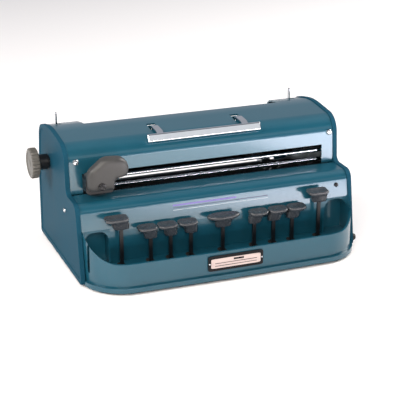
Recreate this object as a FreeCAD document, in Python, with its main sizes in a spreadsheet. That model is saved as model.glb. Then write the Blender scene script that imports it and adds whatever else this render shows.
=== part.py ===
"""Mechanical braille writer: a nine-key embossing typewriter in a cast and sheet-metal case.

Frame: millimetres, +X to the typist's right, +Y to the rear, +Z up, origin on the floor
under the middle of the machine.
"""
import FreeCAD, Part

import math
import os

SIZES = {
    "caseHalf": 172.5,       # outer face of a side panel
    "rimBand": 5.5,          # width of a side panel's raised edge band
    "panelWall": 3.0,
    "faceRecess": 0.8,       # a side panel's outer face lies below its band
    "coverHalf": 166.8,      # covers end just inside the side panels
    "sheet": 2.0,            # cover sheet thickness
    "castWall": 3.0,         # keyboard housing wall
    "bottomZ": 3.0,
    "floorZ": 20.0,          # top of the key well floor
    "rimFront": 110.5,       # distance of the front rim's face from the origin, at X 0
    "rimBow": 3.0,           # how far the rim's face falls back towards its corners
    "rimTopZ": 36.0,
    "rimCorner": 48.0,
    "bowRadius": 2500.0,     # plan radius at the middle of the rim
    "rimSweep": 30.0,        # radius of the rim's upward sweep at each end
    "earBlockX": 134.0,      # inner side and top of the blocks beside the well
    "earBlockZ": 63.0,
    "earX": 136.0,           # arched pocket in each block
    "earWall": 2.0,
    "earTopZ": 61.0,
    "earRadius": 11.0,
    "lipOut": 3.3,
    "lipTall": 5.5,
    "slotHalf": 152.0,       # carriage slot
    "slotTopZ": 116.5,
    "notchHalf": 128.0,      # paper entry notch
    "notchY": 54.0,
    "rearEdgeZ": 128.0,      # top of the rear cover
    "frameX": 160.0,         # inner face of a frame plate
    "frameWall": 3.0,
    "railY": -9.0,
    "upperRailZ": 107.5,
    "lowerRailZ": 96.0,
    "railRadius": 2.5,
    "rollerY": 57.0,
    "rollerZ": 111.0,
    "rollerRadius": 12.0,
    "shaftRadius": 4.0,
    "pressRadius": 8.0,
    "pressGap": 0.5,
    "knobRadius": 18.4,
    "knobInnerX": 186.0,
    "knobOuterX": 195.5,
    "hubRadius": 9.5,
    "keyPivotY": 60.0,
    "keyPivotZ": 14.5,
    "keyPivotRadius": 2.0,
    "leverBottomZ": 11.5,
    "leverTopZ": 17.5,
    "leverWide": 3.0,
    "stemY": -71.0,
    "stemWide": 4.0,
    "stemThick": 3.0,
    "stemHole": 3.0,         # half width of a stem's hole in the well floor
    "springY": -25.0,
    "springRadius": 2.6,
    "springBore": 1.8,
    "baseSheet": 1.5,
    "runningGap": 0.05,
    "handlePivotY": 13.0,
    "handlePivotZ": 145.0,
    "handlePinRadius": 2.0,
    "handleArmX": 53.6,
    "handleArmHalf": 4.0,
    "handleHalf": 71.1,
    "eyeRadius": 3.8,        # rolled eye of a handle arm
    "barY": -13.0,
    "barZ": 148.2,
    "barHalfThick": 2.2,
    "barHalfTall": 5.0,
    "barLean": 22.0,         # degrees the bar leans back
    "barEdge": 1.9,
    "bracketNearX": 60.5,
    "bracketFarX": 63.0,
    "bracketPinX": 48.0,
    "carriageX": -136.5,     # middle of the carriage at rest
    "leverPivotX": -138.0,
    "leverPivotZ": 110.0,
    "leverPivotRadius": 2.5,
    "leverScrewHead": 4.5,
    "leverBackY": -38.3,
    "leverThick": 12.0,
    "rackY": 4.0,
    "rackThick": 3.0,
    "rackLowZ": 74.0,
    "rackHighZ": 84.0,
    "paperLeverX": 154.0,
    "paperLeverY": 84.0,
    "paperPivotZ": 125.0,
    "paperPivotRadius": 2.5,
    "drumX": 125.0,
    "drumZ": 62.0,
    "drumRadius": 25.0,
    "drumStud": 3.0,
    "tieY": 34.0,
    "tieThick": 2.0,
    "stopRailZ": 60.0,
    "stopRailY": 98.0,
    "stopX": 128.0,
    "screwRadius": 3.4,      # head of a cover screw
    "screwShank": 1.6,
    "screwLeftX": 159.0,
    "screwRightX": 162.0,
    "screwZ": 131.0,
    "screwSeatY": -15.6,     # bottom of the screw heads' seats in the top cover
    "rivetRadius": 2.6,
    "rivetY": -8.5,
    "rivetZ": 72.0,
    "deckScrewX": 152.3,
    "deckScrewZ": 78.0,
    "deckScrewRadius": 2.2,
    "bellX": 110.0,
    "bellZ": 62.0,
    "bellRadius": 18.0,
    "bellWall": 2.0,
    "footRadius": 9.0,
    "footX": 148.0,
    "footFrontY": -52.0,
    "footRearY": 88.0,
    "bumperY": -65.4,
    "bumperZ": 9.5,
    "bumperRadius": 4.5,
    "bumperTall": 5.5,
    "plateHalf": 34.0,       # blank name plate
    "plateLowZ": 14.0,
    "plateHighZ": 32.5,
    "plateProud": 1.2,
    "plateSunk": 0.1,
}

# Keys from left to right: name, stem X, cap offset from the stem, cap width, cap base Z.
KEYS = (
    ("line_space", -123.6, -6.0, 27.5, 65.5),
    ("dot_3", -88.8, -4.5, 23.2, 50.0),
    ("dot_2", -64.6, -4.5, 23.2, 50.0),
    ("dot_1", -39.8, -4.5, 23.2, 50.0),
    ("spacer", 0.0, 0.0, 48.0, 51.5),
    ("dot_4", 39.8, 4.5, 23.2, 50.0),
    ("dot_5", 64.6, 4.5, 23.2, 50.0),
    ("dot_6", 88.8, 4.5, 23.2, 50.0),
    ("backspace", 123.6, -3.0, 26.0, 65.5),
)

# Case outline seen from the side: Y, Z and corner radius, from the front bottom round
# over the top to the rear bottom.
CASE_OUTLINE = (
    (-72.0, 3.0, 3.0),
    (-57.4, 94.0, 12.0),
    (-20.6, 94.6, 8.0),
    (-15.9, 149.4, 23.0),
    (50.0, 156.4, 110.0),
    (96.8, 147.0, 20.0),
    (107.5, 75.0, 70.0),
    (109.0, 3.0, 3.0),
)

# Face of the deck, from its rear edge over the front down to the well floor: Y, Z, radius.
DECK_CHAIN = (
    (-21.8, 93.4, 0),
    (-56.4, 93.0, 12),
    (-63.7, 49.0, 60),
    (-56.0, 18.2, 0),
)

# Side view of an inner frame plate: Y, Z, radius.
FRAME_OUTLINE = (
    (-14, 4.5, 3),
    (-14, 96, 4),
    (-11.5, 146, 20),
    (50, 151.5, 20),
    (90, 143, 16),
    (102, 75, 30),
    (102, 4.5, 3),
)

# Side view of a paper release lever: Y, Z, radius.
PAPER_LEVER_OUTLINE = (
    (79, 120, 4.5),
    (79, 130, 4.5),
    (81.8, 150, 0),
    (82.4, 162, 1.5),
    (85.6, 162, 1.5),
    (86.2, 150, 0),
    (89, 130, 4.5),
    (89, 120, 4.5),
)

# Front views of the carriage's block and of the arched lever on it: X, Z, radius.
BLOCK_OUTLINE = ((-153.5, 97.6, 5), (-153.5, 120.5, 7), (-121, 120.5, 5), (-121, 97.6, 3))
HEAD_LEVER_OUTLINE = (
    (-153, 103, 7),
    (-153, 127, 12),
    (-134, 142.5, 16),
    (-104.5, 140.5, 14),
    (-105, 119, 8),
    (-121.5, 116, 7),
    (-122.5, 103, 3),
)

RACK_TEETH = 48
RACK_PITCH = 6.2
RATCHET_TEETH = 24
FAR = 200.0    # beyond the case on any side

doc = FreeCAD.newDocument("braille_writer")
sheet = doc.addObject("Spreadsheet::Sheet", "Sizes")
for row, (alias, value) in enumerate(SIZES.items(), start=1):
    sheet.set(f"A{row}", alias)
    sheet.set(f"B{row}", str(value))
    sheet.setAlias(f"B{row}", alias)
doc.recompute()

nodes = []


def size(alias):
    """The value of one driving dimension."""
    return float(sheet.get(alias))


def formula(text):
    """Turn a size formula, in which $name is a cell of the sheet, into an expression."""
    return str(text).replace("$", "Sizes.")


def bind(thing, **formulas):
    """Bind properties of an object to formulas of the sheet's cells."""
    for name, text in formulas.items():
        thing.setExpression(name.replace("__", "."), formula(text))


def place(thing, x=0, y=0, z=0):
    """Bind the place of an object."""
    thing.setExpression("Placement.Base.x", formula(x))
    thing.setExpression("Placement.Base.y", formula(y))
    thing.setExpression("Placement.Base.z", formula(z))
    return thing


def node(thing, name):
    """Register an object as one of the machine's pieces."""
    thing.Label = name
    nodes.append(thing)
    return thing


def box(x0, x1, y0, y1, z0, z1):
    """A box between low and high corners given as formulas."""
    thing = doc.addObject("Part::Box", "Box")
    bind(thing, Length=f"({x1}) - ({x0})", Width=f"({y1}) - ({y0})", Height=f"({z1}) - ({z0})")
    return place(thing, x0, y0, z0)


TURNS = {
    "x": FreeCAD.Rotation(FreeCAD.Vector(0, 1, 0), 90),
    "y": FreeCAD.Rotation(FreeCAD.Vector(1, 0, 0), -90),
    "z": FreeCAD.Rotation(),
}


def rod(axis, radius, start, end, a, b):
    """A cylinder along an axis from start to end; a and b place it across that axis."""
    thing = doc.addObject("Part::Cylinder", "Rod")
    bind(thing, Radius=radius, Height=f"({end}) - ({start})")
    thing.Placement = FreeCAD.Placement(FreeCAD.Vector(), TURNS[axis])
    spot = {"x": (start, a, b), "y": (a, start, b), "z": (a, b, start)}[axis]
    return place(thing, *spot)


def fuse(*things):
    """One solid from several, or a group of separate solids."""
    thing = doc.addObject("Part::MultiFuse", "Fused")
    thing.Shapes = list(things)
    return thing


def cut(base, *tools):
    """A base with one or more tools taken away."""
    thing = doc.addObject("Part::Cut", "Cut")
    thing.Base = base
    thing.Tool = tools[0] if len(tools) == 1 else fuse(*tools)
    return thing


def rounded(corners):
    """Lines and arcs of a closed outline whose corners are (u, v, radius)."""
    count = len(corners)
    starts = []
    ends = []
    arcs = []
    for index, (u, v, radius) in enumerate(corners):
        here = FreeCAD.Vector(u, v, 0)
        before = FreeCAD.Vector(*corners[index - 1][:2], 0)
        after = FreeCAD.Vector(*corners[(index + 1) % count][:2], 0)
        back = (before - here).normalize()
        onward = (after - here).normalize()
        half = back.getAngle(onward) / 2
        if radius <= 0 or math.pi / 2 - half < 1e-3:
            starts.append(here)
            ends.append(here)
            arcs.append(None)
            continue
        reach = radius / math.tan(half)
        start = here + back * reach
        end = here + onward * reach
        centre = here + (back + onward).normalize() * (radius / math.sin(half))
        middle = centre + (here - centre).normalize() * radius
        starts.append(start)
        ends.append(end)
        arcs.append(Part.Arc(start, middle, end))
    pieces = []
    for index in range(count):
        if arcs[index] is not None:
            pieces.append(arcs[index])
        start = ends[index]
        end = starts[(index + 1) % count]
        if (end - start).Length > 1e-4:
            pieces.append(Part.LineSegment(start, end))
    return pieces


def parallel(chain, distance):
    """An open chain of corners moved sideways, to the right of its direction of travel."""
    points = [FreeCAD.Vector(u, v, 0) for u, v, _ in chain]
    normals = []
    for first, second in zip(points, points[1:]):
        along = (second - first).normalize()
        normals.append(FreeCAD.Vector(along.y, -along.x, 0))
    moved = []
    for index, (point, corner) in enumerate(zip(points, chain)):
        left = normals[max(index - 1, 0)]
        right = normals[min(index, len(normals) - 1)]
        shift = (left + right) * (distance / (1 + left.dot(right)))
        turn = left.x * right.y - left.y * right.x
        radius = corner[2] + (distance if turn > 0 else -distance)
        moved.append((point.x + shift.x, point.y + shift.y, max(radius, 0) if corner[2] else 0))
    return moved


def shell(chain, thickness):
    """Closed outline of a sheet that lies to the right of an open chain of corners."""
    outer = [(chain[0][0], chain[0][1], 0), *chain[1:-1], (chain[-1][0], chain[-1][1], 0)]
    return outer + parallel(outer, thickness)[::-1]


def closed_inset(corners, distance):
    """A closed outline moved inwards; the corners run clockwise seen against the normal."""
    wrapped = [corners[-1], *corners, corners[0]]
    return parallel(wrapped, distance)[1:-1]


def sketch_on(body, plane, corners, offset):
    """A sketch of a rounded outline on one of a body's origin planes."""
    sketch = body.newObject("Sketcher::SketchObject", "Outline")
    origin_plane = next(item for item in body.Origin.OriginFeatures if item.Role == plane)
    sketch.AttachmentSupport = [(origin_plane, "")]
    sketch.MapMode = "FlatFace"
    sketch.setExpression("AttachmentOffset.Base.z", formula(offset))
    for piece in rounded(corners):
        sketch.addGeometry(piece, False)
    return sketch


def pad(plane, corners, offset, length):
    """A body made by padding a rounded outline along its plane's normal."""
    body = doc.addObject("PartDesign::Body", "Body")
    sketch = sketch_on(body, plane, corners, offset)
    feature = body.newObject("PartDesign::Pad", "Pad")
    feature.Profile = sketch
    bind(feature, Length=length)
    body.Tip = feature
    return body


def case_chain(first, last, inset):
    """Part of the case outline between two corners, moved inwards."""
    return parallel(CASE_OUTLINE, inset)[first:last]


def side_panels():
    """Dished castings with a raised band round the edge."""
    inner = closed_inset(CASE_OUTLINE, size("rimBand"))
    past = 1.0
    for name, sign in (("left_side_panel", -1), ("right_side_panel", 1)):
        low = "-$caseHalf" if sign < 0 else "$caseHalf - $rimBand"
        dish_low = "-$caseHalf + $panelWall" if sign < 0 else f"$caseHalf - $rimBand - {past}"
        face_low = f"-$caseHalf - {past}" if sign < 0 else "$caseHalf - $faceRecess"
        plate = pad("YZ_Plane", CASE_OUTLINE, low, "$rimBand")
        dish = pad("YZ_Plane", inner, dish_low, f"$rimBand - $panelWall + {past}")
        face = pad("YZ_Plane", inner, face_low, f"$faceRecess + {past}")
        reach = sorted((sign * 160, sign * 190))
        shaft_hole = rod("x", "$shaftRadius + 1.5", *reach, "$rollerY", "$rollerZ")
        rivet_hole = rod("x", "$rivetRadius + $runningGap", *reach, "$rivetY", "$rivetZ")
        node(cut(plate, dish, face, shaft_hole, rivet_hole), name)


def cover_screw_spots():
    """X of each cover screw, as formulas."""
    return ("-$screwLeftX", "$screwRightX")


def top_cover():
    """Bent sheet from the carriage slot's upper lip over the top to the rear edge."""
    chain = case_chain(2, 7, 1.0)
    chain[0] = (chain[0][0], chain[0][1], 0)
    first, second = chain[-2:]
    share = (size("rearEdgeZ") - first[1]) / (second[1] - first[1])
    chain[-1] = (first[0] + share * (second[0] - first[0]), size("rearEdgeZ"), 0)
    body = pad("YZ_Plane", shell(chain, size("sheet")), "-$coverHalf", "2 * $coverHalf")
    tools = [
        box("-$slotHalf", "$slotHalf", -40, 0, 80, "$slotTopZ"),
        box("-$notchHalf", "$notchHalf", "$notchY", 130, 100, 180),
    ]
    for sign in (-1, 1):
        middle = f"{sign} * $paperLeverX"
        tools.append(box(f"{middle} - 2.5", f"{middle} + 2.5", 66, 91, 135, 180))
        arm = f"{sign} * $handleArmX"
        tools.append(box(f"{arm} - $handleArmHalf - 1.5", f"{arm} + $handleArmHalf + 1.5",
                         "$handlePivotY - 4", "$handlePivotY + 15", 140, 180))
    for spot in cover_screw_spots():
        tools.append(rod("y", "$screwRadius + $runningGap", -25, "$screwSeatY", spot, "$screwZ"))
        tools.append(rod("y", "$screwShank + $runningGap", -25, -12, spot, "$screwZ"))
    node(cut(body, *tools), "top_cover")


def rear_cover():
    """Rear sheet with the slot of the margin stops."""
    chain = case_chain(5, 8, 1.0)
    first, second = chain[:2]
    share = (size("rearEdgeZ") - first[1]) / (second[1] - first[1])
    chain[0] = (first[0] + share * (second[0] - first[0]), size("rearEdgeZ"), 0)
    body = pad("YZ_Plane", shell(chain, size("sheet")), "-$coverHalf", "2 * $coverHalf")
    slot = box(-145, 145, 90, 130, "$stopRailZ - 4", "$stopRailZ + 4")
    node(cut(body, slot), "rear_cover")


def plan_outline(inset):
    """Plan of the bowed front rim with round corners; inset moves its front and sides in."""
    half = size("coverHalf") - inset
    front = -size("rimFront") + inset
    shoulder = front + size("rimBow")
    radius = size("rimCorner") - inset
    bow = size("bowRadius") - inset
    return [(-half, -55, 0), (-half, shoulder, radius), (0, front, bow),
            (half, shoulder, radius), (half, -55, 0)]


def keyboard_housing():
    """Casting with the deck, the key well and the bowed front rim."""
    deck_outline = shell(DECK_CHAIN[::-1], size("castWall"))
    deck = pad("YZ_Plane", deck_outline, "-$coverHalf", "2 * $coverHalf")
    outer = pad("XY_Plane", plan_outline(0), "$bottomZ", "64 - $bottomZ")
    inner = pad("XY_Plane", plan_outline(size("castWall")), "$floorZ", "70 - $floorZ")
    under = pad("XY_Plane", plan_outline(size("castWall")), "$bottomZ - 1",
                "$floorZ - 2 - $bottomZ + 1")
    gap = pad("XZ_Plane", mouth_outline(), "50", "70")
    rear_gap = box(-FAR, FAR, -60, -50, "$floorZ", 80)
    tray = cut(outer, inner, under, gap, rear_gap)
    lip_outer = pad("XY_Plane", plan_outline(-size("lipOut")), "$bottomZ", "$lipTall")
    lip_inner = pad("XY_Plane", plan_outline(size("castWall") / 2), "$bottomZ - 1", "$lipTall + 2")
    lip_ends = box(-FAR, FAR, -73, -50, 0, 20)
    lip = cut(lip_outer, lip_inner, lip_ends)
    pieces = [deck, tray, lip]
    tools = []
    for sign in (-1, 1):
        low, high = sorted((sign * size("earBlockX"), sign * size("coverHalf")))
        pieces.append(box(low, high, -62, -46, "$floorZ - 2", "$earBlockZ"))
        low, high = sorted((sign * size("earX"), sign * (size("coverHalf") - size("earWall"))))
        foot, top, radius = size("floorZ") - 0.1, size("earTopZ"), size("earRadius")
        tools.append(pad("XZ_Plane", [(low, foot, 0), (low, top, radius), (high, top, radius),
                                      (high, foot, 0)], "48", "30"))
    for _, x, _, _, _ in KEYS:
        tools.append(box(f"{x} - $stemHole", f"{x} + $stemHole", "$stemY - 2 * $stemHole",
                         "$stemY + 2 * $stemHole", 10, 30))
    tools.append(rod("y", "$deckScrewRadius + $runningGap", -70, -50, "$deckScrewX",
                     "$deckScrewZ"))
    node(cut(fuse(*pieces), *tools), "keyboard_housing")


def mouth_outline():
    """Front view of the space over the rim's top edge, which sweeps up at both ends."""
    half = size("coverHalf")
    top = size("rimTopZ")
    sweep = size("rimSweep")
    return [(-half, 80, 0), (-half, top, sweep), (half, top, sweep), (half, 80, 0)]


def base_plate():
    """Flat sheet that closes the underside."""
    inset = size("castWall") + 0.5
    plan = plan_outline(inset)
    half = size("coverHalf")
    corners = [(-half, 105, 4), (-half, -54, 0), (-half + inset, -54, 0), *plan[1:4],
               (half - inset, -54, 0), (half, -54, 0), (half, 105, 4)]
    node(pad("XY_Plane", corners, "$bottomZ", "$baseSheet"), "base_plate")
    feet = [rod("z", "$footRadius", 0, "$bottomZ", x, y)
            for x in ("-$footX", "$footX") for y in ("$footFrontY", "$footRearY")]
    node(fuse(*feet), "rubber_feet")


def fixings():
    """Visible screws, rivets, the side bumper and the blank name plate."""
    pieces = []
    for spot in cover_screw_spots():
        head = rod("y", "$screwRadius", -19.4, "$screwSeatY", spot, "$screwZ")
        pieces.append(fuse(head, rod("y", "$screwShank", -16, -14.1, spot, "$screwZ")))
    for sign in (-1, 1):
        ends = sorted((sign * 173.2, sign * 169.5))
        pieces.append(rod("x", "$rivetRadius", *ends, "$rivetY", "$rivetZ"))
    node(fuse(*pieces), "cover_screws")
    node(rod("y", "$deckScrewRadius", -61.3, -55, "$deckScrewX", "$deckScrewZ"), "deck_screw")
    node(rod("x", "$bumperRadius", "$caseHalf", "$caseHalf + $bumperTall", "$bumperY",
             "$bumperZ"), "side_bumper")
    node(box("-$plateHalf", "$plateHalf", "-$rimFront - $plateProud",
             "-$rimFront + $plateSunk", "$plateLowZ", "$plateHighZ"), "name_plate")


def frame_plates():
    """Inner side frames that carry the shafts, rails and pivots."""
    for name, sign in (("left_frame_plate", -1), ("right_frame_plate", 1)):
        low = "-$frameX - $frameWall" if sign < 0 else "$frameX"
        plate = pad("YZ_Plane", FRAME_OUTLINE, low, "$frameWall")
        ends = (-200, -150) if sign < 0 else (150, 200)
        roller_hole = rod("x", "$shaftRadius + $runningGap", *ends, "$rollerY", "$rollerZ")
        press_hole = rod("x", "3 + $runningGap", *ends, "$rollerY", press_z())
        inner = sign * size("frameX")
        reach = sign * (size("paperLeverX") - 2)
        near, far = sorted((inner, reach))
        stud = rod("x", "$paperPivotRadius", near, far, "$paperLeverY", "$paperPivotZ")
        node(cut(fuse(plate, stud), roller_hole, press_hole), name)


def press_z():
    """Height of the pressure roller's axis, as a formula."""
    return "$rollerZ - $rollerRadius - $pressGap - $pressRadius"


def inner_works():
    """Rails, rack, tie plate, bell, guide comb and pivot shaft between the frame plates."""
    for name, height in (("upper_rail", "$upperRailZ"), ("lower_rail", "$lowerRailZ")):
        node(rod("x", "$railRadius", "-$frameX", "$frameX", "$railY", height), name)
    node(rod("x", "$keyPivotRadius", "-$frameX", "$frameX", "$keyPivotY", "$keyPivotZ"),
         "key_pivot_shaft")
    bar = box("-$frameX", "$frameX", "$rackY", "$rackY + $rackThick", "$rackLowZ", "$rackHighZ")
    teeth = []
    for step in range(RACK_TEETH):
        start = -150 + RACK_PITCH * step
        teeth.append(box(start, start + 2.5, "$rackY - 1", "$rackY + $rackThick + 1",
                         "$rackHighZ - 3.5", "$rackHighZ + 1"))
    node(cut(bar, *teeth), "escapement_rack")
    comb = box(-140, 140, -46, -44, 4.5, 24)
    slots = [box(x - 1.9, x + 1.9, -47, -43, 5.2, 25) for _, x, _, _, _ in KEYS]
    node(cut(comb, *slots), "key_guide_comb")
    tie = box("-$frameX", "$frameX", "$tieY", "$tieY + $tieThick", 40, 80)
    stud = rod("y", "$drumStud", 12, "$tieY", "$drumX", "$drumZ")
    bell_post = rod("y", 2.5, 30, "$tieY", "-$bellX", "$bellZ")
    node(fuse(tie, stud, bell_post), "tie_plate")
    bell = rod("y", "$bellRadius", 20, 30, "-$bellX", "$bellZ")
    hollow = rod("y", "$bellRadius - $bellWall", 19, "30 - $bellWall", "-$bellX", "$bellZ")
    node(cut(bell, hollow), "margin_bell")
    node(box("-$frameX", "$frameX", "$stopRailY - 2.5", "$stopRailY + 2.5", "$stopRailZ - 2.5",
             "$stopRailZ + 2.5"), "margin_rail")
    guide = pad("YZ_Plane", shell([(36, 102, 0), (36, 120, 6), (22, 132, 0)][::-1], 1.5),
                "-145", "290")
    node(guide, "paper_guide")
    springs = []
    for _, x, _, _, _ in KEYS:
        coil = rod("z", "$springRadius", "$bottomZ + $baseSheet", "$leverBottomZ", x,
                   "$springY")
        springs.append(cut(coil, rod("z", "$springBore", 4, 12, x, "$springY")))
    node(fuse(*springs), "key_return_springs")
    brackets = []
    for sign in (-1, 1):
        low, high = sorted((sign * size("bracketNearX"), sign * size("bracketFarX")))
        brackets.append(box(low, high, "$handlePivotY - 6", "$handlePivotY + 6", 139, 148.6))
        low, high = sorted((sign * size("bracketPinX"), sign * size("bracketNearX")))
        brackets.append(rod("x", "$handlePinRadius", low, high, "$handlePivotY",
                            "$handlePivotZ"))
    node(fuse(*brackets), "handle_brackets")


def roller_train():
    """Paper feed roller with its shaft, two knobs and ratchet, and the pressure roller."""
    axis = ("$rollerY", "$rollerZ")
    node(rod("x", "$shaftRadius", "-$knobOuterX + 2", "$knobOuterX - 2", *axis), "roller_shaft")
    sleeve = rod("x", "$rollerRadius", -146, 146, *axis)
    node(cut(sleeve, rod("x", "$shaftRadius", -150, 150, *axis)), "feed_roller")
    wheel = rod("x", 15, 148, 151, *axis)
    nicks = []
    for step in range(RATCHET_TEETH):
        angle = math.tau * step / RATCHET_TEETH
        y = size("rollerY") + 15.2 * math.cos(angle)
        z = size("rollerZ") + 15.2 * math.sin(angle)
        nicks.append(rod("x", 1.2, 147, 152, round(y, 3), round(z, 3)))
    bore = rod("x", "$shaftRadius", 147, 152, *axis)
    node(cut(wheel, bore, *nicks), "line_ratchet_wheel")
    for name, sign in (("left_feed_knob", -1), ("right_feed_knob", 1)):
        near, inner, outer = "$caseHalf + 0.5", "$knobInnerX", "$knobOuterX"
        if sign < 0:
            disc = rod("x", "$knobRadius", f"-({outer})", f"-({inner})", *axis)
            hub = rod("x", "$hubRadius", f"-({inner})", f"-({near})", *axis)
            bore = rod("x", "$shaftRadius", f"-({outer}) + 2", f"-({near}) + 1", *axis)
        else:
            disc = rod("x", "$knobRadius", inner, outer, *axis)
            hub = rod("x", "$hubRadius", near, inner, *axis)
            bore = rod("x", "$shaftRadius", f"{near} - 1", f"{outer} - 2", *axis)
        node(cut(fuse(disc, hub), bore), name)
    barrel = rod("x", "$pressRadius", -144, 144, "$rollerY", press_z())
    spindle = rod("x", 3, "-$frameX - $frameWall + 0.5", "$frameX + $frameWall - 0.5",
                  "$rollerY", press_z())
    node(fuse(barrel, spindle), "pressure_roller")


def paper_levers():
    """Two thin release levers that stand up through slots in the top cover."""
    for name, sign in (("left_paper_lever", -1), ("right_paper_lever", 1)):
        middle = f"{sign} * $paperLeverX"
        blade = pad("YZ_Plane", PAPER_LEVER_OUTLINE, f"{middle} - 1", "2")
        bore = rod("x", "$paperPivotRadius + $runningGap", f"{middle} - 5", f"{middle} + 5", "$paperLeverY",
                   "$paperPivotZ")
        node(cut(blade, bore), name)


def handle():
    """Bright bar, leaning back, on two flat arms that come up through slots in the cover."""
    lean = math.radians(size("barLean"))
    corners = []
    for across, along in ((-1, -1), (-1, 1), (1, 1), (1, -1)):
        side, rise = across * size("barHalfThick"), along * size("barHalfTall")
        corners.append((size("barY") + side * math.cos(lean) + rise * math.sin(lean),
                        size("barZ") - side * math.sin(lean) + rise * math.cos(lean),
                        size("barEdge")))
    node(pad("YZ_Plane", corners, "-$handleHalf", "2 * $handleHalf"), "handle_bar")
    pivot_y, pivot_z = size("handlePivotY"), size("handlePivotZ")
    chain = [(pivot_y, pivot_z, 0), (pivot_y + 3.5, 155.6, 3.5), (-4, 154.0, 6), (-12, 150.2, 0)]
    arms = []
    for sign in (-1, 1):
        middle = sign * size("handleArmX")
        strap = pad("YZ_Plane", shell(chain[::-1], size("sheet")), middle - size("handleArmHalf"),
                    "2 * $handleArmHalf")
        eye = rod("x", "$eyeRadius", f"{middle} - $handleArmHalf", f"{middle} + $handleArmHalf",
                  "$handlePivotY", "$handlePivotZ")
        bore = rod("x", "$handlePinRadius + $runningGap", middle - 9, middle + 9,
                   "$handlePivotY", "$handlePivotZ")
        seat = pad("YZ_Plane", corners, middle - 9, "18")
        arms.append(cut(fuse(strap, eye), bore, seat))
    node(fuse(*arms), "handle_arms")


def carriage():
    """Carriage on the two rails, the embossing head behind it and its front lever."""
    x = "$carriageX"
    slider = box(f"{x} - 14", f"{x} + 14", -15.5, 2, 89, 113.5)
    bores = [rod("x", "$railRadius + $runningGap", -160, -110, "$railY", height)
             for height in ("$upperRailZ", "$lowerRailZ")]
    node(cut(slider, *bores), "carriage_slide")
    head = box(f"{x} - 10", f"{x} + 10", 2, 30, 98, 116)
    slit = box(f"{x} - 12", f"{x} + 12", 8, 31, 106, 108)
    pins = [rod("z", 0.8, 105.5, 107.2, f"{x} + {dx}", y)
            for dx in (-1.25, 1.25) for y in (17.5, 20, 22.5)]
    node(fuse(cut(head, slit), *pins), "embossing_head")
    block = pad("XZ_Plane", BLOCK_OUTLINE, "23.5", "14.2")
    neck = box(f"{x} - 13", f"{x} + 13", -23.5, -15.5, 98, 113)
    node(fuse(block, neck), "carriage_block")
    pivot = ("$leverPivotX", "$leverPivotZ")
    arm = pad("XZ_Plane", HEAD_LEVER_OUTLINE, "-$leverBackY", "$leverThick")
    bore = rod("y", "$leverPivotRadius + $runningGap", -52, -36, *pivot)
    node(cut(arm, bore), "head_lever")
    stem = rod("y", "$leverPivotRadius", -50.7, -37.7, *pivot)
    head = rod("y", "$leverScrewHead", -52, -50.6, *pivot)
    node(fuse(stem, head), "lever_pivot_screw")


def keys():
    """Nine key levers on one shaft, each with a stem and a moulded cap."""
    for name, x, shift, wide, base in KEYS:
        lever = box(f"{x} - $leverWide / 2", f"{x} + $leverWide / 2", "$stemY + $stemThick / 2",
                    "$keyPivotY + 6", "$leverBottomZ", "$leverTopZ")
        stem = box(f"{x} - $stemWide / 2", f"{x} + $stemWide / 2", "$stemY - $stemThick / 2",
                   "$stemY + $stemThick / 2", "$leverBottomZ", base)
        bore = rod("x", "$keyPivotRadius + $runningGap", x - 5, x + 5, "$keyPivotY",
                   "$keyPivotZ")
        node(cut(fuse(lever, stem), bore), f"{name}_key_lever")
        outline = [(-80, base, 2), (-82, base + 9, 2), (-79, base + 14, 3),
                   (-66.5, base + 15, 2), (-67, base, 3)]
        cap = pad("YZ_Plane", outline, x + shift - wide / 2, wide)
        node(cap, f"{name}_key_cap")


def margin_stops():
    """Two sliding stops on the rear rail, with tabs that stand out through the rear slot."""
    for name, sign in (("left_margin_stop", -1), ("right_margin_stop", 1)):
        middle = f"{sign} * $stopX"
        block = box(f"{middle} - 6", f"{middle} + 6", "$stopRailY - 5.5", "$stopRailY + 5",
                    "$stopRailZ - 6", "$stopRailZ + 6")
        tab = box(f"{middle} - 4", f"{middle} + 4", "$stopRailY + 5", "$rimFront + $lipOut",
                  "$stopRailZ - 2.5", "$stopRailZ + 2.5")
        bore = box(f"{middle} - 8", f"{middle} + 8", "$stopRailY - 2.8", "$stopRailY + 2.8",
                   "$stopRailZ - 2.8", "$stopRailZ + 2.8")
        node(cut(fuse(block, tab), bore), name)


def spring_drum():
    """Drum of the carriage spring, on the tie plate's stud."""
    drum = rod("y", "$drumRadius", 16, 30, "$drumX", "$drumZ")
    bore = rod("y", "3 + $runningGap", 10, 35, "$drumX", "$drumZ")
    node(cut(drum, bore), "carriage_spring_drum")


def check_and_write():
    """Stop on any failed object, then write one file for each piece."""
    doc.recompute()
    for thing in doc.Objects:
        bad = [word for word in thing.State if "Invalid" in word or "Error" in word]
        if bad:
            raise RuntimeError(f"{thing.Name} ({thing.Label}): {bad}")
    os.makedirs("parts", exist_ok=True)
    for thing in nodes:
        shape = thing.Shape
        if shape.isNull() or not shape.isValid() or not shape.Solids:
            raise RuntimeError(f"{thing.Label} has no valid solid")
        shape.exportStep(f"parts/{thing.Label}.step")
        print(f"{thing.Label}: {len(shape.Solids)} solids, {shape.Volume:.0f} mm3")
    print(f"{len(nodes)} nodes")


side_panels()
top_cover()
rear_cover()
keyboard_housing()
base_plate()
fixings()
frame_plates()
inner_works()
roller_train()
paper_levers()
handle()
carriage()
keys()
margin_stops()
spring_drum()
check_and_write()
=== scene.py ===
"""Looks of a nine-key mechanical braille writer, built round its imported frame."""

import logging
import math
from dataclasses import dataclass
from enum import Enum
from typing import Sequence

import bmesh
import bpy
from mathutils import Matrix, Vector


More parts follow.
